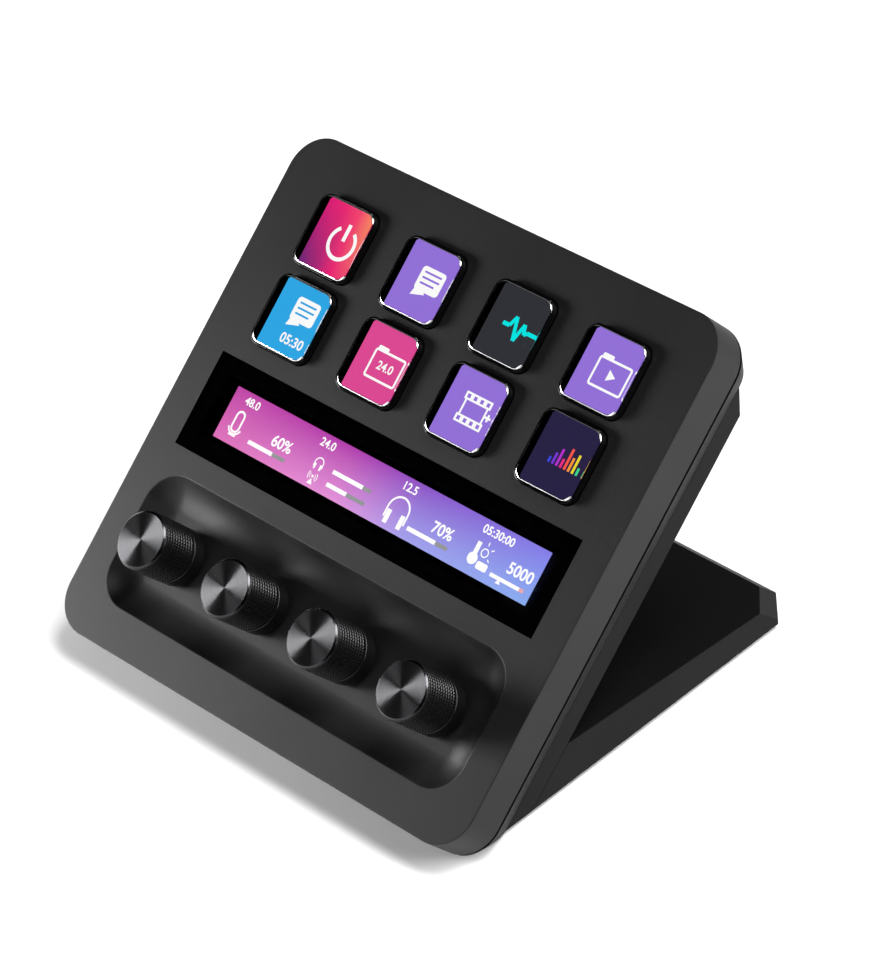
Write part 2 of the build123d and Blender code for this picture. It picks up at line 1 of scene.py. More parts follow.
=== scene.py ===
"""Looks of the macro keypad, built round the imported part.

Pieces on the face are modelled in millimetres in the face's own frame: u to the right, v up the
face and w out of it, from the middle of the face's bottom edge. Pieces of the stand are modelled in
millimetres in the part's frame. Each finished piece is then placed in metres.
"""
import bmesh
import bpy
import json
from math import asin, atan2, cos, radians, sin, sqrt, tan
from mathutils import Matrix, Vector


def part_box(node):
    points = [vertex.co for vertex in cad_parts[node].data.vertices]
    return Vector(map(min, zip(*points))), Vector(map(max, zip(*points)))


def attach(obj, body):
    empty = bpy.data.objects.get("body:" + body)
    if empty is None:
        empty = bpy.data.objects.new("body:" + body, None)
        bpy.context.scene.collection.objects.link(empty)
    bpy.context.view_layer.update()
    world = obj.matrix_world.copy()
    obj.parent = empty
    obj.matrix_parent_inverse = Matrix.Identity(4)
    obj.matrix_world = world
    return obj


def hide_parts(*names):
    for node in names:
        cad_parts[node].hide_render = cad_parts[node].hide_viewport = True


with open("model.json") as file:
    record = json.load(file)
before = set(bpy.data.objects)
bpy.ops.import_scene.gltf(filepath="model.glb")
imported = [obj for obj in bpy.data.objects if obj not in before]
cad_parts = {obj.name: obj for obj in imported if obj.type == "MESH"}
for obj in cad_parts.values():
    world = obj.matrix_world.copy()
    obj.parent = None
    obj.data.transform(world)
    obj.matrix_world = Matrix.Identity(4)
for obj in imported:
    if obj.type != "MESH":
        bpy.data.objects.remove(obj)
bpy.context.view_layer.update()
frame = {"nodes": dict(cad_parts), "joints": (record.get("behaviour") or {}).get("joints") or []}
nodes = frame["nodes"]
joints = {joint["name"]: joint for joint in frame["joints"]}

# ---- sizes in millimetres: the part's own, and the finer ones that only the looks have ----
face_width = 140.0
face_height = 134.3
corner_radius = 10.0
cover_depth = 10.4
cover_wall = 2.0
cover_plate = 1.5
edge_rounding = 0.3
seam_height = 0.5
seam_inset = 0.6
panel_gap = 0.05
housing_depth = 7.8
housing_inset = 4.0
housing_wall = 2.2
housing_floor = 2.0
housing_room_corner = 4.0
housing_rounding = 0.12
key_pitch_u = 29.87
key_pitch_v = 21.6
lower_key_row_v = 91.2
lens_width = 18.15
lens_corner = 2.8
lens_rise = 2.0
lens_rounding = 0.5
lens_flange_width = 20.4
lens_flange_height = 0.75
skirt_wall = 0.35
skirt_drop = 0.25
skirt_gap = 0.02
skirt_rounding = 0.1
key_gap = 0.15
window_width = 121.7
window_height = 25.1
window_v = 64.15
window_ledge = 1.6
window_corner = 0.25
ledge_corner = 0.4
glass_thickness = 1.4
glass_gap = 0.1
sensor_gap = 0.02
mask_border = 4.2
panel_front = -3.6
dial_v = 28.0
dial_pitch = 29.87
dish_width = 121.7
dish_height = 35.0
dish_corner = 9.0
dish_depth = 3.9
dish_skin = 1.6
dish_scoop_radius = 11.0
bushing_hole_radius = 3.65
knob_skirt_radius = 7.3
knob_radius = 7.4
knob_base = -2.8
knurl_base = 1.0
knob_top = 12.35
knob_foot_rounding = 0.25
knob_rim_height = 0.25
knob_rim_inset = 0.12
knob_rim_rounding = 0.1
knurl_columns = 60
knurl_row_pitch = 1.0
knurl_first_row = 1.5
knurl_root_radius = 7.18
knurl_land = 0.18
cap_radius = 7.15
cap_face_radius = 6.75
cap_top = 12.9
cap_edge_break = 0.04
stand_half_width = 66.0
leg_thickness = 5.5
leg_top_v = 124.0
leg_bevel_drop = 4.2
leg_spare = 10.0
leg_rounding = 0.15
foot_front_height = 11.2
foot_rear_height = 6.6
foot_rear_lip = 1.3
foot_length = 91.0
foot_corner = 7.4
foot_corner_slope = 3.9
foot_rounding = 0.2
plate_half_width = 58.0
plate_front = 16.0
plate_length = 60.0
plate_thickness = 2.5
plate_corner = 3.0
plate_gap = 0.1
pad_recess = 0.6
pad_width = 110.0
pad_depth = 8.0
socket_v = 62.0
socket_hole = (9.34, 3.66)
socket_hole_corner = 1.7
plug_recess = (16.0, 11.0)
plug_recess_corner = 2.0
strip_picture_size = (106.4, 13.5)
field_size = (19.9, 19.4)
field_corner = 0.1
field_shift = 0.25

# how far a cutter reaches past what it cuts, and how near an edge or face is to be picked by place
overcut = 1.0
tolerance = 0.01

cover_back = -cover_depth
housing_front = cover_back - seam_height
housing_back = housing_front - housing_depth
leg_front = housing_back - panel_gap
leg_back = leg_front - leg_thickness
flange_top = -cover_plate - panel_gap
face_size = (face_width, face_height)
face_middle = (0, face_height / 2)
dish_size = (dish_width, dish_height)
field_level = panel_front + 0.02
mark_level = panel_front + 0.05
detail_level = panel_front + 0.08

# ---- the face's frame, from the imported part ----
face_out = Vector(joints["dial_turn_1"]["axis"]).normalized()
face_right = Vector((1, 0, 0))
face_up = face_out.cross(face_right)
tilt = atan2(face_up.z, face_up.y)
metre = 0.001
cover_low, cover_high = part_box("front_cover")
underside_z = cover_low.z / metre
face_origin = Vector((
    0,
    cover_high.y - (face_height * cos(tilt) + cover_depth * sin(tilt)) * metre,
    cover_low.z + cover_depth * cos(tilt) * metre,
))
on_face = Matrix.Translation(face_origin) @ Matrix(
    (face_right, face_up, face_out)
).transposed().to_4x4() @ Matrix.Scale(metre, 4)
on_desk = Matrix.Scale(metre, 4)

key_places = [
    ((column - 1.5) * key_pitch_u, lower_key_row_v + row * key_pitch_v)
    for row in (1, 0)
    for column in range(4)
]
dial_places = [((index - 1.5) * dial_pitch, dial_v) for index in range(4)]


# ---- modelling by hand ----


def alone(piece):
    """Select one object and nothing else."""
    bpy.ops.object.select_all(action="DESELECT")
    piece.select_set(True)
    bpy.context.view_layer.objects.active = piece


def open_mesh(piece):
    """Go into edit mode on one piece with everything in it selected."""
    alone(piece)
    bpy.ops.object.mode_set(mode="EDIT")
    bpy.ops.mesh.select_all(action="SELECT")


def close_mesh():
    """Back to object mode."""
    bpy.ops.object.mode_set(mode="OBJECT")


def pick(kind, test):
    """In edit mode, select the edges or faces that pass a test, and nothing else."""
    bpy.ops.mesh.select_mode(type=kind)
    bpy.ops.mesh.select_all(action="DESELECT")
    shape = bmesh.from_edit_mesh(bpy.context.edit_object.data)
    for part in shape.edges if kind == "EDGE" else shape.faces:
        if test(part):
            part.select_set(True)
    bmesh.update_edit_mesh(bpy.context.edit_object.data)


def give_slot(piece, slot, test):
    """Give the faces that pass a test one of the piece's finishes."""
    open_mesh(piece)
    pick("FACE", test)
    piece.active_material_index = slot
    bpy.ops.object.material_slot_assign()
    close_mesh()


def extrude(rise=0.0):
    """In edit mode, extrude what is selected along w."""
    bpy.ops.mesh.extrude_region_move(TRANSFORM_OT_translate={"value": (0, 0, rise)})


def face_outwards():
    """In edit mode, turn all normals outwards."""
    bpy.ops.mesh.select_all(action="SELECT")
    bpy.ops.mesh.normals_make_consistent(inside=False)


def middle(part):
    """The middle of an edge or a face."""
    return sum((corner.co for corner in part.verts), Vector()) / len(part.verts)


def upright(edge):
    """Whether an edge stands along w."""
    run = edge.verts[1].co - edge.verts[0].co
    return abs(run.z) > 0.99 * run.length


def settle():
    """Put the selected object's place, turn and scale into its mesh."""
    bpy.ops.object.transform_apply(location=True, rotation=True, scale=True)


def begin(name, primitive, **settings):
    """Add a primitive with nothing else selected, and name it."""
    bpy.ops.object.select_all(action="DESELECT")
    primitive(**settings)
    piece = bpy.context.active_object
    piece.name = name
    return piece


def block(name, centre, size, corner=0.0, steps=8):
    """A box from a cube, with its four upright edges rounded."""
    piece = begin(name, bpy.ops.mesh.primitive_cube_add, size=1, location=centre, scale=size)
    settle()
    if corner:
        open_mesh(piece)
        pick("EDGE", upright)
        bpy.ops.mesh.bevel(offset=corner, segments=steps, affect="EDGES")
        close_mesh()
    return piece


def slab(name, low, high, size, corner=0.0, steps=8, at=(0, 0)):
    """A rounded block between two levels."""
    return block(name, (*at, (low + high) / 2), (*size, high - low), corner, steps)


def round_bar(name, low, high, radius, sides=96, at=(0, 0)):
    """A round block between two levels, from a cylinder."""
    piece = begin(name, bpy.ops.mesh.primitive_cylinder_add, vertices=sides, radius=radius,
                  depth=high - low, location=(*at, (low + high) / 2))
    settle()
    return piece


def sheet_of(name, size, corner, at, level, steps=5):
    """A flat sheet from a plane, with its corners rounded."""
    piece = begin(name, bpy.ops.mesh.primitive_plane_add, size=1, location=(*at, level))
    piece.scale = (*size, 1)
    settle()
    if corner:
        open_mesh(piece)
        bpy.ops.mesh.bevel(offset=corner, segments=steps, affect="VERTICES")
        close_mesh()
    return piece


def copy_of(piece, name, at):
    """A copy with its own mesh, moved to a point of the face."""
    twin = piece.copy()
    twin.data = piece.data.copy()
    twin.name = name
    bpy.context.collection.objects.link(twin)
    alone(twin)
    twin.location = (*at, 0)
    settle()
    return twin


def joined(pieces):
    """Several pieces made one."""
    alone(pieces[0])
    for piece in pieces[1:]:
        piece.select_set(True)
    bpy.ops.object.join()
    return pieces[0]


def finish_with(piece, kind, **settings):
    """Give a piece a modifier with these settings, and apply it."""
    alone(piece)
    bpy.ops.object.modifier_add(type=kind)
    modifier = piece.modifiers[-1]
    for name, value in settings.items():
        setattr(modifier, name, value)
    bpy.ops.object.modifier_apply(modifier=modifier.name)


def carve(piece, cutter):
    """Cut a piece with another, which is used up."""
    finish_with(piece, "BOOLEAN", operation="DIFFERENCE", solver="EXACT", object=cutter)
    bpy.data.objects.remove(cutter)


def slice_off(piece, point, normal):
    """Cut a piece flat and drop what lies on the normal's side."""
    open_mesh(piece)
    bpy.ops.mesh.bisect(plane_co=point, plane_no=normal, use_fill=True, clear_outer=True)
    close_mesh()


def round_edges(piece, width, steps=2, angle=40, clamp=False):
    """Break all sharp edges with a small rounding."""
    finish_with(piece, "BEVEL", width=width, segments=steps, limit_method="ANGLE",
                angle_limit=radians(angle), use_clamp_overlap=clamp)


def smooth(piece, angle=35, flat_weight=80):
    """Smooth shading that leaves flat faces flat."""
    alone(piece)
    bpy.ops.object.shade_smooth_by_angle(angle=radians(angle))
    finish_with(piece, "WEIGHTED_NORMAL", keep_sharp=True, weight=flat_weight)


def fit(piece, place, body, slot, *replaced):
    """Place a finished piece, let it ride on its body, and hide the parts that it stands for."""
    alone(piece)
    piece.matrix_world = place @ piece.matrix_world
    settle()
    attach(piece, body)
    if replaced:
        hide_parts(*replaced)


def set_out(places, body, *models):
    """Fit a copy of each model in each place, then drop the models.

    A model is its shape, the name of its copies, their slot, and the node that they stand for.
    """
    for number, place in enumerate(places, start=1):
        for shape, name, slot, node in models:
            fit(copy_of(shape, f"{name}_{number}", place), on_face, f"{body}_{number}", slot,
                f"{node}_{number}")
    for model in models:
        bpy.data.objects.remove(model[0])


def paint(piece, *finishes):
    """Give a piece its finishes, one slot each."""
    piece.data.materials.clear()
    for finish in finishes:
        piece.data.materials.append(finish)


# ---- finishes ----

noise_span = {"From Min": 0.3, "From Max": 0.7}
cloud_size = 35.0
pixel_size = 0.25
display_strength = 1.06
strip_white_strength = 1.25


def colour(code):
    """An sRGB hex colour as a linear one."""
    channels = [int(code[place:place + 2], 16) / 255 for place in (1, 3, 5)]
    linear = [c / 12.92 if c <= 0.04045 else ((c + 0.055) / 1.055) ** 2.4 for c in channels]
    return (*linear, 1.0)


def add_node(tree, kind, inputs=(), **settings):
    """Add a node. A node or an output given as an input is linked, any other value is set."""
    node = tree.nodes.new(kind)
    for name, value in settings.items():
        setattr(node, name, value)
    for name, value in dict(inputs).items():
        if isinstance(value, bpy.types.Node):
            value = value.outputs[0]
        if isinstance(value, bpy.types.NodeSocket):
            tree.links.new(value, node.inputs[name])
        else:
            node.inputs[name].default_value = value
    return node


def new_finish(name):
    """An empty material, its nodes, and the place on the piece that its patterns follow."""
    finish = bpy.data.materials.new(name)
    finish.use_nodes = True
    tree = finish.node_tree
    tree.nodes.clear()
    return finish, tree, add_node(tree, "ShaderNodeTexCoord").outputs["Object"]


def close_finish(finish, kind, inputs):
    """Add the shader of a finish and join it to the output, and hand the finish back."""
    shader = add_node(finish.node_tree, kind, inputs)
    add_node(finish.node_tree, "ShaderNodeOutputMaterial", {"Surface": shader})
    return finish


def per_mm(size):
    """A texture scale, per metre, whose features are a size in millimetres."""
    return 1.0 / (size * metre)


def set_stops(node, stops):
    """Give a colour ramp its stops, each a position and an sRGB hex colour."""
    ramp = node.color_ramp
    while len(ramp.elements) > len(stops):
        ramp.elements.remove(ramp.elements[-1])
    while len(ramp.elements) < len(stops):
        ramp.elements.new(1.0)
    for element, (position, shade) in zip(ramp.elements, stops):
        element.position = position
        element.color = colour(shade)


def moulded_plastic(name, dark, light, roughness, grain, depth, specular=0.5):
    """ABS moulded in a spark-eroded tool, with its grain and the grain's depth in millimetres.

    The eye sees an even, matt, faintly speckled skin: a fine grain that breaks the highlights, here
    a little coarser than the tool's so that it shows, and cloudy changes of gloss from the flow.
    """
    finish, tree, place = new_finish(name)
    speckle = add_node(
        tree, "ShaderNodeTexNoise",
        {"Vector": place, "Scale": per_mm(grain), "Detail": 2.0, "Roughness": 0.6},
    )
    clouds = add_node(
        tree, "ShaderNodeTexNoise", {"Vector": place, "Scale": per_mm(cloud_size), "Detail": 2.0}
    )
    shade = add_node(tree, "ShaderNodeValToRGB", {"Fac": speckle})
    set_stops(shade, [(0.35, dark), (0.7, light)])
    gloss = add_node(
        tree, "ShaderNodeMapRange",
        {"Value": clouds, **noise_span, "To Min": roughness - 0.03, "To Max": roughness + 0.03},
    )
    relief = add_node(
        tree, "ShaderNodeBump", {"Height": speckle, "Strength": 0.6, "Distance": depth * metre}
    )
    return close_finish(finish, "ShaderNodeBsdfPrincipled", {
        "Base Color": shade, "Roughness": gloss, "Normal": relief, "IOR": 1.5,
        "Specular IOR Level": specular,
    })


def polished_plastic(name, shade):
    """Polycarbonate from a polished tool: a deep glossy tone, its reflections barely wavy."""
    finish, tree, place = new_finish(name)
    waves = add_node(tree, "ShaderNodeTexNoise", {"Vector": place, "Scale": per_mm(4.0)})
    relief = add_node(
        tree, "ShaderNodeBump", {"Height": waves, "Strength": 0.2, "Distance": 0.01 * metre}
    )
    return close_finish(finish, "ShaderNodeBsdfPrincipled", {
        "Base Color": colour(shade), "Roughness": 0.08, "IOR": 1.58, "Normal": relief,
    })


def clear_glass(name, ior, specular=0.5):
    """Cast acrylic or glass: clear, it bends what is behind it, with a trace of haze from touch.

    A lower specular level is for a face that is coated or bonded, and mirrors the lights less.
    """
    finish, tree, place = new_finish(name)
    handling = add_node(
        tree, "ShaderNodeTexNoise", {"Vector": place, "Scale": per_mm(6.0), "Detail": 3.0}
    )
    haze = add_node(
        tree, "ShaderNodeMapRange",
        {"Value": handling, "From Min": 0.4, "From Max": 0.8, "To Min": 0.0, "To Max": 0.012},
    )
    return close_finish(finish, "ShaderNodeBsdfPrincipled", {
        "Base Color": colour("#ffffff"), "Roughness": haze, "IOR": ior,
        "Specular IOR Level": specular, "Transmission Weight": 1.0,
    })


def black_paint(name):
    """Printed mask ink: matt black that takes nearly all light, with a trace of grain."""
    finish, tree, place = new_finish(name)
    grain = add_node(tree, "ShaderNodeTexNoise", {"Vector": place, "Scale": per_mm(0.5)})
    shade = add_node(tree, "ShaderNodeValToRGB", {"Fac": grain})
    set_stops(shade, [(0.3, "#020202"), (0.8, "#060606")])
    return close_finish(finish, "ShaderNodeBsdfPrincipled", {
        "Base Color": shade, "Roughness": 0.7, "Specular IOR Level": 0.0,
    })


def spun_aluminium(name):
    """Black-anodised aluminium faced on a lathe.

    The ring-shaped cutter marks spread each light into a pair of bright wedges through the centre,
    with dark wedges between them. The real rings are finer; these are as fine as still shows.
    """
    finish, tree, place = new_finish(name)
    axis_point = on_face @ Vector((*dial_places[0], 0))
    arm = add_node(
        tree, "ShaderNodeVectorMath", {0: place, 1: tuple(axis_point)}, operation="SUBTRACT"
    )
    parts = add_node(tree, "ShaderNodeSeparateXYZ", {0: arm})
    # one pattern serves all four caps: across the face it starts anew for each of them
    half_pitch = dial_pitch / 2 * metre
    across = add_node(
        tree, "ShaderNodeMath",
        {0: parts.outputs["X"], 1: half_pitch, 2: -half_pitch}, operation="WRAP",
    )
    own_arm = add_node(
        tree, "ShaderNodeCombineXYZ",
        {"X": across, "Y": parts.outputs["Y"], "Z": parts.outputs["Z"]},
    )
    around = add_node(
        tree, "ShaderNodeVectorMath", {0: tuple(face_out), 1: own_arm}, operation="CROSS_PRODUCT"
    )
    outward = add_node(
        tree, "ShaderNodeVectorMath", {0: around, 1: tuple(face_out)}, operation="CROSS_PRODUCT"
    )
    turned = add_node(
        tree, "ShaderNodeVectorTransform", {"Vector": outward},
        vector_type="VECTOR", convert_from="OBJECT", convert_to="WORLD",
    )
    direction = add_node(tree, "ShaderNodeVectorMath", {0: turned}, operation="NORMALIZE")
    radius = add_node(tree, "ShaderNodeVectorMath", {0: around}, operation="LENGTH")
    cuts = add_node(
        tree, "ShaderNodeTexNoise",
        {"W": radius.outputs["Value"], "Scale": per_mm(0.12), "Detail": 1.0},
        noise_dimensions="1D",
    )
    gloss = add_node(
        tree, "ShaderNodeMapRange", {"Value": cuts, **noise_span, "To Min": 0.28, "To Max": 0.34}
    )
    shade = add_node(tree, "ShaderNodeValToRGB", {"Fac": cuts})
    set_stops(shade, [(0.3, "#464648"), (0.7, "#5a5a5c")])
    return close_finish(finish, "ShaderNodeBsdfPrincipled", {
        "Base Color": shade, "Metallic": 1.0, "Anisotropic": 1.0, "Roughness": gloss,
        "Tangent": direction,
    })


def satin_metal(name, shade, roughness, grain=0.3):
    """Blasted, plated or anodised metal: a satin sheen with fine even changes of gloss."""
    finish, tree, place = new_finish(name)
    blast = add_node(
        tree, "ShaderNodeTexNoise", {"Vector": place, "Scale": per_mm(grain), "Detail": 1.0}
    )
    gloss = add_node(
        tree, "ShaderNodeMapRange",
        {"Value": blast, **noise_span, "To Min": roughness - 0.05, "To Max": roughness + 0.05},
    )
    return close_finish(finish, "ShaderNodeBsdfPrincipled", {
        "Base Color": colour(shade), "Metallic": 1.0, "Roughness": gloss,
    })


def soft_rubber(name):
    """Silicone rubber: dull, slightly dusty black."""
    finish, tree, place = new_finish(name)
    dust = add_node(
        tree, "ShaderNodeTexNoise", {"Vector": place, "Scale": per_mm(1.2), "Detail": 4.0}
    )
    shade = add_node(tree, "ShaderNodeValToRGB", {"Fac": dust})
    set_stops(shade, [(0.4, "#0c0c0d"), (0.75, "#1c1c1e")])
    return close_finish(finish, "ShaderNodeBsdfPrincipled", {
        "Base Color": shade, "Roughness": 0.85, "Specular IOR Level": 0.3,
    })


def board_laminate(name):
    """Glass-fibre board under green solder mask, with the weave just showing."""
    finish, tree, place = new_finish(name)
    weave = add_node(
        tree, "ShaderNodeTexChecker",
        {"Vector": place, "Scale": per_mm(0.8),
         "Color1": colour("#0d3a22"), "Color2": colour("#10432a")},
    )
    return close_finish(finish, "ShaderNodeBsdfPrincipled", {
        "Base Color": weave, "Roughness": 0.35,
    })


def lit_colour(name, shade, strength=display_strength):
    """One even colour of the lit display, with the faint screen-door dots of its pixels."""
    finish, tree, place = new_finish(name)
    pixels = add_node(tree, "ShaderNodeTexNoise", {"Vector": place, "Scale": per_mm(pixel_size)})
    tones = add_node(tree, "ShaderNodeValToRGB", {"Fac": pixels})
    set_stops(tones, [(0.3, shade), (0.7, shade)])
    dim = tones.color_ramp.elements[0]
    dim.color = (*(0.96 * channel for channel in dim.color[:3]), 1.0)
    return close_finish(finish, "ShaderNodeEmission", {"Color": tones, "Strength": strength})


def lit_blend(name, centre, size, bottom, top):
    """A lit two-way colour blend: one ramp of colours along the foot and one along the head."""
    finish, tree, place = new_finish(name)
    back = (on_face @ Matrix.Translation((*centre, 0)) @ Matrix.Scale(1 / metre, 4)).inverted()
    turned = add_node(
        tree, "ShaderNodeMapping",
        {"Vector": place, "Location": tuple(back.translation), "Rotation": tuple(back.to_euler())},
    )
    spot = add_node(tree, "ShaderNodeSeparateXYZ", {0: turned})
    half_u, half_v = size[0] / 2 * metre, size[1] / 2 * metre
    along, up = [
        add_node(
            tree, "ShaderNodeMapRange",
            {"Value": spot.outputs[axis], "From Min": -half, "From Max": half},
        )
        for axis, half in (("X", half_u), ("Y", half_v))
    ]
    foot, head = [add_node(tree, "ShaderNodeValToRGB", {"Fac": along}) for edge in range(2)]
    set_stops(foot, bottom)
    set_stops(head, top)
    # sockets 6, 7 and 2 are the mix's two colours and its outcome
    both = add_node(tree, "ShaderNodeMix", {"Factor": up, 6: foot, 7: head}, data_type="RGBA")
    return close_finish(finish, "ShaderNodeEmission", {
        "Color": both.outputs[2], "Strength": display_strength,
    })


# Moulded parts: dark and light colour, roughness, grain, its depth, specular level. The cover takes
# a soft sheen from the lamps; housing and stand are the same ABS with less sheen and a darker tone,
# painted shade that sinks them into the dark.
cover_abs = moulded_plastic("cover_grained_abs", "#050506", "#101011", 0.5, 0.28, 0.07, 0.28)
housing_shaded_abs = moulded_plastic("housing_grained_abs_painted_shade", "#060607", "#0c0c0d", 0.55, 0.28, 0.06, 0.09)
stand_shaded_abs = moulded_plastic("stand_grained_abs_painted_shade", "#060607", "#0a0a0b", 0.55, 0.28, 0.06, 0.11)
inner_abs = moulded_plastic("inner_black_abs", "#141415", "#1b1b1c", 0.6, 0.4, 0.01)
grip_abs = moulded_plastic("knob_black_polycarbonate", "#050505", "#0a0a0a", 0.3, 0.2, 0.004, 0.4)
# The skirt is a black mirror that keeps a thin line of light round each key.
skirt_gloss = polished_plastic("key_skirt_polished_black", "#050506")
lens_acrylic = clear_glass("key_clear_acrylic", 1.49, 0.4)
lens_base = clear_glass("key_acrylic_coated_rear", 1.49, 0.0)
# Light caught in the acrylic's polished edge leaves it as a bright line, here given by a mirror.
lens_rim = satin_metal("key_rim_polished_acrylic", "#ececee", 0.1)
# The pane mirrors little, and the sensor bonded behind it nothing, so the picture stays clear.
pane_glass = clear_glass("window_coated_glass", 1.5, 0.3)
bonded_glass = clear_glass("touch_sensor_bonded_glass", 1.5, 0.0)
mask_ink = black_paint("black_mask_ink")
cap_metal = spun_aluminium("knob_spun_black_aluminium")
# The cap's fresh-cut bevel is brighter than its face. Shafts, screws and plates are plain satin.
cap_edge_metal = satin_metal("knob_bevel_bright_aluminium", "#3c3c3e", 0.2)
shaft_metal = satin_metal("shaft_plain_aluminium", "#a8a8a8", 0.35)
screw_steel = satin_metal("screw_dark_plated_steel", "#4a4a4c", 0.35)
plate_steel = satin_metal("ballast_plain_steel", "#6a6a6c", 0.45, 0.8)
socket_steel = satin_metal("socket_plated_steel", "#b0b0b2", 0.3)
foot_rubber = soft_rubber("foot_silicone_rubber")
green_board = board_laminate("board_green_laminate")
# Film, tray and rotors are smooth, and nearly even in colour.
amber_film = moulded_plastic("ribbon_polyimide_film", "#7a4a1c", "#8a5522", 0.35, 0.6, 0.004)
white_tray = moulded_plastic("backlight_white_tray", "#c8c8c8", "#dcdcdc", 0.5, 0.6, 0.004)
rotor_white = moulded_plastic("rotor_natural_acetal", "#b8b6ae", "#cac8c0", 0.45, 0.5, 0.004)


# ---- the cover ----


def dish_shape():
    """The room inside the dish: an outline stepped down along a round scoop, closed above."""
    steps = 14
    dish = sheet_of("dish_shape", dish_size, dish_corner, (0, dial_v), 0, steps)
    scoop = dish_scoop_radius
    rim_angle = asin(sqrt(scoop**2 - (scoop - dish_depth) ** 2) / scoop)
    open_mesh(dish)
    pick("FACE", lambda face: True)
    for step in range(steps):
        outer = rim_angle * (1 - step / steps)
        inner = rim_angle * (1 - (step + 1) / steps)
        run = scoop * (sin(outer) - sin(inner))
        drop = scoop * (cos(inner) - cos(outer))
        bpy.ops.mesh.inset(thickness=run, depth=-drop)
    pick("EDGE", lambda edge: edge.is_boundary)
    extrude(dish_depth)
    bpy.ops.mesh.edge_face_add()
    face_outwards()
    close_mesh()
    return dish


def front_cover():
    """A thin moulding: a rounded block, hollow from behind, with its openings and the dish."""
    cover = slab("front_cover_moulding", cover_back, 0, face_size, corner_radius, steps=20,
                 at=face_middle)
    hollow = slab("cover_hollow", cover_back - cover_wall, -cover_plate,
                  (face_width - 2 * cover_wall, face_height - 2 * cover_wall),
                  corner_radius - cover_wall, steps=10, at=face_middle)
    bulge = slab("dish_bulge", -dish_depth - dish_skin, 0, dish_size, dish_corner, steps=10,
                 at=(0, dial_v))
    carve(hollow, bulge)
    carve(cover, hollow)
    carve(cover, dish_shape())
    margin = skirt_wall + key_gap
    opening = slab("key_opening", -2 * cover_plate, cover_plate,
                   (lens_width + 2 * margin,) * 2, lens_corner + margin)
    openings = [copy_of(opening, "key_opening_cut", place) for place in key_places]
    bpy.data.objects.remove(opening)
    ledge = (window_width - 2 * window_ledge, window_height - 2 * window_ledge)
    openings.append(slab("window_opening", -2 * cover_plate, cover_plate, ledge, ledge_corner,
                         steps=3, at=(0, window_v)))
    carve(cover, joined(openings))
    round_edges(cover, edge_rounding)
    pocket = slab("window_pocket", -glass_thickness, cover_plate,
                  (window_width, window_height), window_corner, steps=3, at=(0, window_v))
    carve(cover, pocket)
    bushing_holes = [
        round_bar("bushing_hole", -2 * dish_depth, 0, bushing_hole_radius, sides=48, at=place)
        for place in dial_places
    ]
    carve(cover, joined(bushing_holes))
    smooth(cover)
    paint(cover, cover_abs)
    fit(cover, on_face, "casing", "cover_plastic", "front_cover")


front_cover()


def window_pane():
    """The touch strip's cover glass: black ink on its edges and round the picture on its rear."""
    pane = slab("touch_strip_glass", sensor_gap - glass_thickness, 0,
                (window_width - 2 * glass_gap, window_height - 2 * glass_gap), at=(0, window_v))
    open_mesh(pane)
    pick("FACE", lambda face: face.normal.z < -0.9)
    bpy.ops.mesh.inset(thickness=mask_border)
    close_mesh()
    paint(pane, pane_glass, mask_ink, bonded_glass)
    for slot, in_middle in ((1, False), (2, True)):
        give_slot(pane, slot, lambda face: face.normal.z < 0.5
                  and (abs(middle(face).x) + abs(middle(face).y - window_v) < 1) == in_middle)
    smooth(pane)
    fit(pane, on_face, "casing", "window_glass", "window_glass")


window_pane()


# ---- keys ----


def key_lens():
    """A cast acrylic lens: rolled top edge, blackened sides, and a flange below the cover."""
    lens = slab("key_lens_shape", flange_top, lens_rise, (lens_width,) * 2, lens_corner, steps=10)
    open_mesh(lens)
    pick("EDGE", lambda edge: all(corner.co.z > lens_rise - tolerance for corner in edge.verts))
    bpy.ops.mesh.bevel(offset=lens_rounding, segments=8, affect="EDGES")
    pick("FACE", lambda face: face.normal.z < -0.9)
    spread = lens_flange_width / lens_width
    extrude()
    bpy.ops.transform.resize(value=(spread, spread, 1), center_override=(0, 0, flange_top))
    extrude(-lens_flange_height)
    face_outwards()
    close_mesh()
    paint(lens, lens_acrylic, mask_ink, lens_rim, lens_base)
    rim_foot = lens_rise - lens_rounding
    # 1 the blackened sides, 2 the rolled edge but for its right side, which stays clear, 3 the rear
    areas = (
        (1, lambda face: middle(face).z < rim_foot and abs(face.normal.z) < 0.99
         or abs(middle(face).z - flange_top) < tolerance),
        (2, lambda face: middle(face).z > rim_foot and face.normal.z < 0.995
         and not (face.normal.x > 0.1 and abs(face.normal.y) < 0.3 * face.normal.x)),
        (3, lambda face: face.normal.z < -0.9),
    )
    for slot, area in areas:
        give_slot(lens, slot, area)
    smooth(lens)
    return lens


def key_skirt():
    """The glossy black frame round a lens."""
    skirt = slab("key_skirt_shape", flange_top, lens_rise - skirt_drop,
                 (lens_width + 2 * skirt_wall,) * 2, lens_corner + skirt_wall, steps=10)
    hole = slab("lens_hole", flange_top - overcut, lens_rise + overcut,
                (lens_width + 2 * skirt_gap,) * 2, lens_corner + skirt_gap, steps=10)
    carve(skirt, hole)
    round_edges(skirt, skirt_rounding)
    smooth(skirt)
    paint(skirt, skirt_gloss)
    return skirt


set_out(
    key_places, "key",
    (key_lens(), "clear_lens", "key_lens", "key_lens"),
    (key_skirt(), "black_skirt", "key_skirt", "key_skirt"),
)


# ---- dials ----


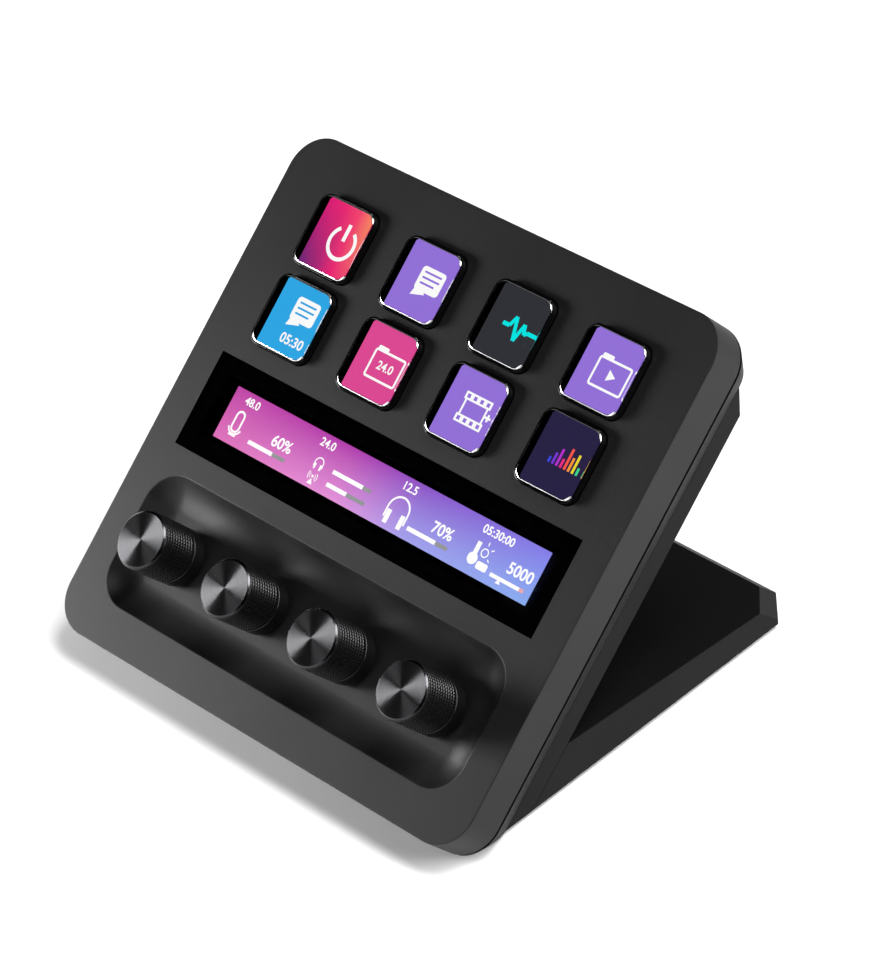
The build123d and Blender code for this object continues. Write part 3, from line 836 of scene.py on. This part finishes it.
def knob_grip():
    """The knurled grip: a bar in rows and columns, each field raised into a flat-topped stud."""
    grip = round_bar("knob_grip_shape", knurl_base, knob_top, knurl_root_radius, knurl_columns)
    rows = int((knob_top - knurl_first_row) / knurl_row_pitch)
    open_mesh(grip)
    for row in range(rows + 1):
        bpy.ops.mesh.select_all(action="SELECT")
        level = knurl_first_row + row * knurl_row_pitch
        bpy.ops.mesh.bisect(plane_co=(0, 0, level), plane_no=(0, 0, 1))
    pick("FACE", lambda face: abs(face.normal.z) < 0.5 and middle(face).z > knurl_first_row)
    bpy.ops.mesh.inset(
        thickness=knurl_land, depth=knob_radius - knurl_root_radius, use_individual=True
    )
    close_mesh()
    skirt = round_bar("knob_skirt_shape", knob_base, knurl_base, knob_skirt_radius)
    round_edges(skirt, knob_foot_rounding, steps=3)
    smooth(skirt)
    rim = round_bar("knob_rim_shape", knob_top - knob_rim_height, knob_top,
                    knob_radius - knob_rim_inset)
    round_edges(rim, knob_rim_rounding)
    smooth(rim)
    grip = joined([grip, skirt, rim])
    paint(grip, grip_abs)
    return grip


def knob_cap():
    """The lathe-faced disc: a turned rim with a bright chamfer, and the ringed face."""
    cap = round_bar("knob_cap_shape", knob_top, cap_top, cap_radius, sides=120)
    open_mesh(cap)
    pick("EDGE", lambda edge: all(corner.co.z > cap_top - tolerance for corner in edge.verts))
    bpy.ops.mesh.bevel(offset=cap_radius - cap_face_radius, segments=1, affect="EDGES")
    pick("EDGE", lambda edge: edge.calc_length() > 0 and edge.calc_face_angle(0) > radians(30))
    bpy.ops.mesh.bevel(offset=cap_edge_break, segments=2, affect="EDGES")
    close_mesh()
    paint(cap, cap_edge_metal, cap_metal)
    give_slot(cap, 1, lambda face: face.normal.z > 0.98)
    smooth(cap)
    return cap


set_out(
    dial_places, "dial",
    (knob_grip(), "knurled_grip", "knob_plastic", "knob_body"),
    (knob_cap(), "spun_cap", "knob_cap_metal", "knob_cap"),
)


# ---- rear housing and stand ----


def underside_v(level):
    """The v at which the underside's plane cuts a level of the face frame."""
    return -(level * cos(tilt) + cover_depth * cos(tilt)) / sin(tilt)


joint_y = (on_face @ Vector((0, underside_v(leg_back), leg_back)) / metre).y
rear_y = joint_y + foot_length


def rear_shell():
    """The housing: it draws in towards the rear, and its foot is cut level with the desk."""
    shell = sheet_of("rear_housing_moulding", face_size, corner_radius, face_middle,
                     housing_front, steps=20)
    open_mesh(shell)
    bpy.ops.mesh.flip_normals()
    pick("FACE", lambda face: True)
    bpy.ops.mesh.inset(thickness=housing_inset, depth=housing_depth)
    pick("EDGE", lambda edge: edge.is_boundary)
    extrude()
    ratio = (face_width - 2 * seam_inset) / face_width
    bpy.ops.transform.resize(value=(ratio, ratio, 1), center_override=(*face_middle, housing_front))
    extrude(seam_height - panel_gap)
    bpy.ops.mesh.edge_face_add()
    face_outwards()
    close_mesh()
    foot_point = (0, underside_v(housing_front), housing_front)
    slice_off(shell, foot_point, (0, -sin(tilt), -cos(tilt)))
    low_v = underside_v(housing_back + housing_floor) + housing_wall / sin(tilt)
    high_v = face_height - housing_inset - housing_wall
    hollow = slab("housing_hollow", housing_back + housing_floor, cover_back + overcut,
                  (face_width - 2 * (housing_inset + housing_wall), high_v - low_v),
                  housing_room_corner, steps=6, at=(0, (low_v + high_v) / 2))
    carve(shell, hollow)
    hole = slab("socket_hole", housing_back - overcut, housing_back + housing_floor + overcut,
                socket_hole, socket_hole_corner, steps=6, at=(0, socket_v))
    carve(shell, hole)
    round_edges(shell, housing_rounding, clamp=True)
    smooth(shell, angle=20)
    paint(shell, housing_shaded_abs)
    fit(shell, on_face, "casing", "housing_plastic", "rear_housing")


rear_shell()


def leg_plate():
    """The leg: a flat plate behind the housing, cut level below and bevelled at its head."""
    low_v = underside_v(leg_back) - leg_spare
    leg = slab("stand_leg_moulding", leg_back, leg_front,
               (2 * stand_half_width, leg_top_v - low_v), at=(0, (leg_top_v + low_v) / 2))
    slice_off(leg, (0, underside_v(leg_front), leg_front), (0, -sin(tilt), -cos(tilt)))
    slice_off(leg, (0, leg_top_v, leg_front), (0, leg_thickness, -leg_bevel_drop))
    recess = slab("plug_recess", leg_back - overcut, leg_front + overcut,
                  plug_recess, plug_recess_corner, steps=6, at=(0, socket_v))
    carve(leg, recess)
    round_edges(leg, leg_rounding, clamp=True)
    smooth(leg, angle=20)
    paint(leg, stand_shaded_abs)
    fit(leg, on_face, "casing", "stand_plastic", "stand_leg")


leg_plate()


def foot_wedge():
    """The foot: a long wedge that falls to the rear, with clipped rear corners."""
    top = underside_z + foot_front_height
    foot = block("stand_foot_moulding", (0, (joint_y + rear_y) / 2, (underside_z + top) / 2),
                 (2 * stand_half_width, rear_y - joint_y, top - underside_z))
    crest_y = joint_y + foot_front_height / tan(tilt)
    rise = foot_rear_height - foot_rear_lip
    slice_off(foot, (0, joint_y, underside_z), (0, -sin(tilt), cos(tilt)))
    fall = (foot_front_height - foot_rear_height) / (rear_y - rise - crest_y)
    slice_off(foot, (0, crest_y, top), (0, fall, 1))
    slice_off(foot, (0, rear_y, underside_z + foot_rear_lip), (0, 1, 1))
    for side in (-1, 1):
        corner = (side * stand_half_width, rear_y - foot_corner, underside_z + foot_rear_lip)
        slice_off(foot, corner, (side, 1, 0))
        slice_off(foot, corner, (side * rise / sqrt(2), rise / sqrt(2), foot_corner_slope))
    plate_y = joint_y + plate_front + plate_length / 2
    recess_size = (2 * (plate_half_width + plate_gap), plate_length + 2 * plate_gap,
                   2 * plate_thickness)
    recess = block("plate_recess", (0, plate_y, underside_z), recess_size, plate_corner, steps=6)
    carve(foot, recess)
    behind_plate = foot_length - plate_front - plate_length
    for pad_y in (joint_y + plate_front / 2, rear_y - behind_plate / 2):
        slot = block("pad_slot", (0, pad_y, underside_z),
                     (pad_width, pad_depth, 2 * pad_recess), pad_recess, steps=4)
        carve(foot, slot)
    round_edges(foot, foot_rounding, angle=15)
    smooth(foot, angle=32)
    paint(foot, stand_shaded_abs)
    fit(foot, on_desk, "casing", "stand_plastic", "stand_foot")


foot_wedge()


# ---- pictures on the display ----

white_light = lit_colour("display_white", "#ffffff")


def polygon(name, sides, radius, at, turn=0.0):
    """A flat regular polygon, such as a disc or a triangle."""
    piece = begin(name, bpy.ops.mesh.primitive_circle_add, vertices=sides, radius=radius,
                  fill_type="NGON", location=(*at, mark_level))
    piece.rotation_euler.z = turn
    settle()
    return piece


def stroke(name, points, width, level=mark_level, closed=False, flatness=0.02):
    """A flat line of even width through points: a bevelled curve made a mesh and pressed flat."""
    line = bpy.data.curves.new(name, "CURVE")
    line.dimensions = "3D"
    line.bevel_depth = width / 2
    line.bevel_resolution = 1
    line.use_fill_caps = True
    spline = line.splines.new("POLY")
    spline.points.add(len(points) - 1)
    for knot, (u, v) in zip(spline.points, points):
        knot.co = (u, v, 0, 1)
    spline.use_cyclic_u = closed
    piece = bpy.data.objects.new(name, line)
    bpy.context.collection.objects.link(piece)
    alone(piece)
    bpy.ops.object.convert(target="MESH")
    piece = bpy.context.active_object
    piece.scale = (1, 1, flatness)
    piece.location = (0, 0, level)
    settle()
    return piece


def arc(centre, radius, start, end, steps=24):
    """Points along an arc, from one angle in degrees to another."""
    turns = [radians(start + (end - start) * step / steps) for step in range(steps + 1)]
    return [(centre[0] + radius * cos(a), centre[1] + radius * sin(a)) for a in turns]


def figures(text, size, at, boldness=0.02):
    """Plain figures, as a flat mesh."""
    piece = begin("figures", bpy.ops.object.text_add, location=(*at, mark_level))
    piece.data.body = text
    piece.data.size = size
    piece.data.align_x = "CENTER"
    piece.data.align_y = "CENTER"
    piece.data.offset = boldness * size
    bpy.ops.object.convert(target="MESH")
    settle()
    return bpy.context.active_object


def rounded_outline(centre, size, corner):
    """Points round a rectangle with rounded corners."""
    u, v = centre
    a, b = size[0] / 2 - corner, size[1] / 2 - corner
    points = []
    for quarter, (du, dv) in enumerate(((a, b), (-a, b), (-a, -b), (a, -b))):
        points += arc((u + du, v + dv), corner, 90 * quarter, 90 * quarter + 90, 4)
    return points


def power_mark(at):
    """A ring that is open at its head, with a bar in the gap."""
    u, v = at
    ring = stroke("power_ring", arc(at, 4.0, 125, 415, 40), 1.0)
    bar = stroke("power_bar", [(u, v + 0.6), (u, v + 5.0)], 1.1)
    return [ring, bar]


def speech_mark(at):
    """A speech bubble."""
    u, v = at
    bubble = sheet_of("bubble", (7.8, 6.1), 1.0, (u, v + 0.3), mark_level)
    tail = polygon("bubble_tail", 3, 2.5, (u - 2.2, v - 2.6), radians(135))
    return [bubble, tail]


def speech_lines(at):
    """The lines of writing in a speech bubble."""
    u, v = at
    return [
        stroke("bubble_line", [(u - 2.8, v + rise), (u + reach, v + rise)], 0.5, detail_level)
        for rise, reach in ((2.0, 2.8), (0.6, 2.8), (-0.8, 1.8))
    ]


def folder_mark(at):
    """A folder's outline and its tab."""
    u, v = at
    outline = stroke("folder_outline", rounded_outline(at, (9.8, 6.9), 0.5), 0.6, closed=True)
    tab = sheet_of("folder_tab", (3.4, 1.3), 0.4, (u - 2.9, v + 3.9), mark_level)
    return [outline, tab]


def pulse_mark(at):
    """A heartbeat line, each stretch with ends of its own."""
    u, v = at
    beats = [(-5.6, 0), (-3.4, 0), (-2.2, 2.2), (-0.4, -2.6), (1.0, 1.4), (1.9, -0.6), (2.6, 0),
             (5.6, 0)]
    points = [(u + 0.4 + 0.95 * x, v + 1.15 * y) for x, y in beats]
    return [stroke("pulse_line", ends, 1.0) for ends in zip(points, points[1:])]


def film_mark(at):
    """A frame of film, with a plus sign beside it."""
    u, v = at
    parts = []
    for side in (-1, 1):
        parts.append(sheet_of("film_edge", (8.6, 2.0), 0.2, (u, v + side * 2.8), mark_level))
        side_u = u + side * 3.5
        parts.append(stroke("film_side", [(side_u, v - 2.2), (side_u, v + 2.2)], 0.55))
    parts.append(stroke("plus_bar", [(u + 3.8, v), (u + 5.6, v)], 0.6))
    parts.append(stroke("plus_post", [(u + 4.7, v - 0.9), (u + 4.7, v + 0.9)], 0.6))
    return parts


def film_holes(at):
    """The holes along both edges of the film."""
    u, v = at
    return [
        sheet_of("film_hole", (1.0, 1.0), 0, (u + column * 2.1, v + side * 2.8), detail_level)
        for side in (-1, 1)
        for column in (-1.5, -0.5, 0.5, 1.5)
    ]


def from_key(number, right=0.0, up=0.0):
    """A point of the face, counted from the middle of a key."""
    u, v = key_places[number - 1]
    return u + right, v + up


def key_picture(number, field, layers):
    """One key's picture: a lit field and its marks, each layer a list of shapes with a finish."""
    base = sheet_of(f"key_picture_{number}", field_size, field_corner,
                    from_key(number, field_shift), field_level)
    paint(base, field)
    parts = [base]
    for shapes, finish in layers:
        for shape in shapes:
            paint(shape, finish)
            parts.append(shape)
    fit(joined(parts), on_face, "casing", "display_glass")


def key_pictures():
    """The eight pictures. What is cut out of a white mark has the colour of the field."""
    violet = lit_colour("display_violet", "#9573db")
    slate = lit_colour("display_slate", "#323338")
    sky = lit_colour("display_sky_blue", "#30a9e8")
    rose = lit_colour("display_rose", "#df4b95")
    night = lit_colour("display_night_blue", "#2a2446")
    cyan = lit_colour("display_cyan", "#08e8e6")
    sunset = lit_blend(
        "display_sunset", from_key(1), field_size,
        [(0.04, "#5a2a78"), (0.3, "#9a2a78"), (0.55, "#e82277"), (0.8, "#ee3a70")],
        [(0.04, "#e41f76"), (0.3, "#f02a72"), (0.55, "#f6486f"), (0.78, "#f99060")],
    )
    key_picture(1, sunset, [(power_mark(from_key(1, up=-0.3)), white_light)])
    talk = from_key(2, up=0.6)
    key_picture(2, violet, [(speech_mark(talk), white_light), (speech_lines(talk), violet)])
    key_picture(3, slate, [(pulse_mark(from_key(3)), cyan)])
    folder = from_key(4, up=-0.4)
    arrow = polygon("play_arrow", 3, 1.6, folder, radians(-90))
    key_picture(4, violet, [([*folder_mark(folder), arrow], white_light)])
    talk = from_key(5, up=2.4)
    count = figures("05:30", 3.5, from_key(5, 0.4, -5.1))
    key_picture(5, sky, [([*speech_mark(talk), count], white_light), (speech_lines(talk), sky)])
    folder = from_key(6, up=-0.5)
    count = figures("24.0", 3.0, folder)
    key_picture(6, rose, [([*folder_mark(folder), count], white_light)])
    film = from_key(7, right=-0.4)
    key_picture(7, violet, [(film_mark(film), white_light), (film_holes(film), violet)])
    layers = []
    for index, (tone, height) in enumerate((
        ("#3a4be0", 1.4), ("#7a3ad8", 2.8), ("#b833d0", 4.2), ("#ee2f8a", 2.2),
        ("#ff5a4a", 5.2), ("#ff9a3a", 3.4), ("#f0dc30", 4.6), ("#40d890", 1.8),
    )):
        u, low = from_key(8, (index - 3.5) * 1.25, -2.4)
        bar = stroke("level_bar", [(u, low), (u, low + height)], 0.7)
        layers.append(([bar], lit_colour(f"display_bar_{index + 1}", tone)))
    key_picture(8, night, layers)


key_pictures()


def headphone_mark(at, size, width):
    """A pair of headphones from the front."""
    u, v = at
    foot_v = v - size * 0.8
    hoop = [(u - size, foot_v), *arc(at, size, 180, 0, 20), (u + size, foot_v)]
    parts = [stroke("headband", hoop, width)]
    for side in (-1, 1):
        cup_u = u + side * size * 0.68
        ends = [(cup_u, v - size * 0.15), (cup_u, v - size * 1.2)]
        parts.append(stroke("ear_cup", ends, size * 0.42))
    return parts


def slider(low_u, share, high_u, v):
    """A level bar: the filled part, and the rest just below it."""
    split = low_u + (high_u - low_u) * share
    return (
        stroke("slider_fill", [(low_u, v), (split, v)], 1.05),
        stroke("slider_rest", [(split, v), (high_u, v)], 1.0, mark_level - 0.01),
    )


def strip_picture():
    """The strip's picture: a colour blend in four fields, each with figures, a mark and a bar."""
    blend = lit_blend(
        "display_strip_blend", (0, window_v), strip_picture_size,
        [(0.0, "#eb79c5"), (0.4, "#f09be6"), (0.62, "#adaaf9"), (1.0, "#91b6fc")],
        [(0.0, "#cb4db1"), (0.38, "#bb42b6"), (0.62, "#945ad2"), (1.0, "#8c86f5")],
    )
    grey = lit_colour("display_grey", "#a0a0a4")
    base = sheet_of("strip_picture", strip_picture_size, 0, (0, window_v), field_level)
    paint(base, blend)
    white = [figures(*words) for words in (
        ("48.0", 2.9, (-46.6, 68.6)), ("24.0", 2.9, (-19.9, 68.6)), ("12.5", 2.9, (8.2, 68.6)),
        ("05:30:00", 2.9, (37.5, 68.6)), ("60%", 4.0, (-32.6, 63.3)), ("70%", 4.0, (22.4, 63.3)),
        ("5000", 4.0, (47.9, 63.3)),
    )]
    mast, sun = (-19.7, 60.3), (36.2, 63.6)
    capsule = rounded_outline((-48.1, 63.2), (2.5, 5.2), 1.2)
    white.append(stroke("microphone", capsule, 0.55, closed=True))
    white.append(stroke("sun_ring", arc(sun, 1.0, 0, 360, 20), 0.3, closed=True))
    white += [stroke(*line) for line in (
        ("microphone_yoke", arc((-48.1, 62.2), 2.2, 200, 340, 12), 0.45),
        ("microphone_post", [(-48.1, 60.2), (-48.1, 59.7), (-49.3, 59.7), (-46.9, 59.7)], 0.45),
        ("bulb_stem", [(33.6, 61.6), (33.6, 65.5)], 1.3),
        ("warmth_bar", [(40.2, 60.0), (51.0, 60.0)], 0.9),
    )]
    white += [polygon(*dot) for dot in (
        ("signal_foot", 3, 1.0, (-19.7, 58.8)), ("signal_dot", 12, 0.35, mast),
        ("bulb", 24, 1.5, (33.6, 61.3)), ("warmth_pointer", 3, 0.9, (43.3, 59.2)),
    )]
    white += headphone_mark((-19.7, 63.7), 1.35, 0.3) + headphone_mark((8.0, 62.7), 3.3, 0.5)
    for side in (0, 180):
        for radius in (0.9, 1.5):
            wave = arc(mast, radius, side - 40, side + 40, 8)
            white.append(stroke("signal_wave", wave, 0.22))
    for angle in (90, 35, -35):
        ray = [arc(sun, reach, angle, angle, 1)[0] for reach in (1.8, 2.7)]
        white.append(stroke("sun_ray", ray, 0.3))
    white.append(sheet_of("lamp_base", (3.4, 1.9), 0.5, (37.1, 60.5), mark_level))
    rest = []
    for bar in (
        (-42.4, 0.66, -29.6, 60.2), (-14.8, 0.79, -1.8, 63.5), (-14.8, 0.52, -1.8, 60.2),
        (12.7, 0.7, 26.0, 60.2),
    ):
        filled, empty = slider(*bar)
        white.append(filled)
        rest.append(empty)
    warm_end = stroke("warmth_end", [(49.6, 60.0), (51.0, 60.0)], 0.95, mark_level + 0.01)
    paint(warm_end, lit_colour("display_warm_pink", "#f0b0b8"))
    strip_white = lit_colour("display_strip_white", "#ffffff", strip_white_strength)
    for shape in white:
        paint(shape, strip_white)
    for shape in rest:
        paint(shape, grey)
    fit(joined([base, warm_end, *white, *rest]), on_face, "casing", "display_glass")


strip_picture()


# ---- finishes of the pieces that keep their own shape ----

# Where two of these are in a node's name, the later one holds: a chassis screw is steel.
for part, finish in {
    "touch_sensor": bonded_glass, "display_panel": mask_ink, "backlight": white_tray,
    "display_ribbon": amber_film, "key_membrane": mask_ink, "chassis": inner_abs,
    "main_board": green_board, "usb_c_socket": socket_steel, "base_plate": plate_steel,
    "rubber_feet": foot_rubber, "press_switches": inner_abs, "encoder_housing": inner_abs,
    "encoder_rotor": rotor_white, "encoder_shaft": shaft_metal, "_screws": screw_steel,
}.items():
    for node in nodes:
        if part in node:
            paint(nodes[node], finish)


# ---- stage, lights and camera, in metres ----

floor_side = 8.0


def pale_floor():
    """Painted studio board: near white and matt, with a faint mottle."""
    finish, tree, place = new_finish("studio_white_paint")
    mottle = add_node(
        tree, "ShaderNodeTexNoise", {"Vector": place, "Scale": per_mm(60.0), "Detail": 3.0}
    )
    shade = add_node(tree, "ShaderNodeValToRGB", {"Fac": mottle})
    set_stops(shade, [(0.3, "#f4f4f4"), (0.8, "#fbfbfb")])
    close_finish(finish, "ShaderNodeBsdfPrincipled", {
        "Base Color": shade, "Roughness": 0.9, "Specular IOR Level": 0.1,
    })
    floor = sheet_of("studio_floor", (floor_side, floor_side), 0, (0, 0), 0)
    paint(floor, finish)


pale_floor()


def softbox(name, at, size, power, aim=(0, 0, 0.05)):
    """A rectangular studio light that faces the part, or another point."""
    lamp = bpy.data.lights.new(name, "AREA")
    lamp.shape = "RECTANGLE"
    lamp.size, lamp.size_y = size
    lamp.energy = power
    light = bpy.data.objects.new(name, lamp)
    light.location = at
    light.rotation_euler = (Vector(aim) - Vector(at)).to_track_quat("-Z", "Y").to_euler()
    bpy.context.collection.objects.link(light)


softbox("right_overhead_softbox", (0.54, 0.32, 1.349), (0.7, 0.7), 24)
softbox("overhead_softbox", (0, 0.05, 1.55), (1.6, 1.6), 1.6)
softbox("front_softbox", (0, -1.41, 0.563), (0.6, 0.9), 5.5)
softbox("left_low_panel", (-0.42, -0.255, 0.1), (0.22, 0.14), 3.1)
softbox("left_high_softbox", (-1.02, 0.27, 1.11), (0.3, 1.0), 0.3)
softbox("rear_softbox", (0, 1.36, 0.684), (0.8, 0.8), 1.0)
softbox("right_floor_softbox", (0.42, 0.12, 0.22), (0.25, 0.25), 1.8, (0.16, 0.05, 0))

world = bpy.data.worlds.new("studio_room")
bpy.context.scene.world = world
world.use_nodes = True
world.node_tree.nodes["Background"].inputs["Strength"].default_value = 0.0

camera_place = Vector((0.65927, -0.52347, 0.68337))
camera_aim = Vector((0.00506, 0.00468, 0.04486))
camera_roll = radians(-8.847)
camera_data = bpy.data.cameras.new("studio_camera")
camera_data.sensor_fit = "VERTICAL"
camera_data.sensor_height = 36.0
camera_data.lens = 167.35
camera_data.clip_start = 0.01
camera = bpy.data.objects.new("studio_camera", camera_data)
camera.location = camera_place
level_view = (camera_aim - camera_place).to_track_quat("-Z", "Y").to_matrix()
camera.rotation_euler = (level_view @ Matrix.Rotation(camera_roll, 3, "Z")).to_euler()
bpy.context.collection.objects.link(camera)
bpy.context.scene.camera = camera
bpy.context.scene.view_settings.view_transform = "Standard"
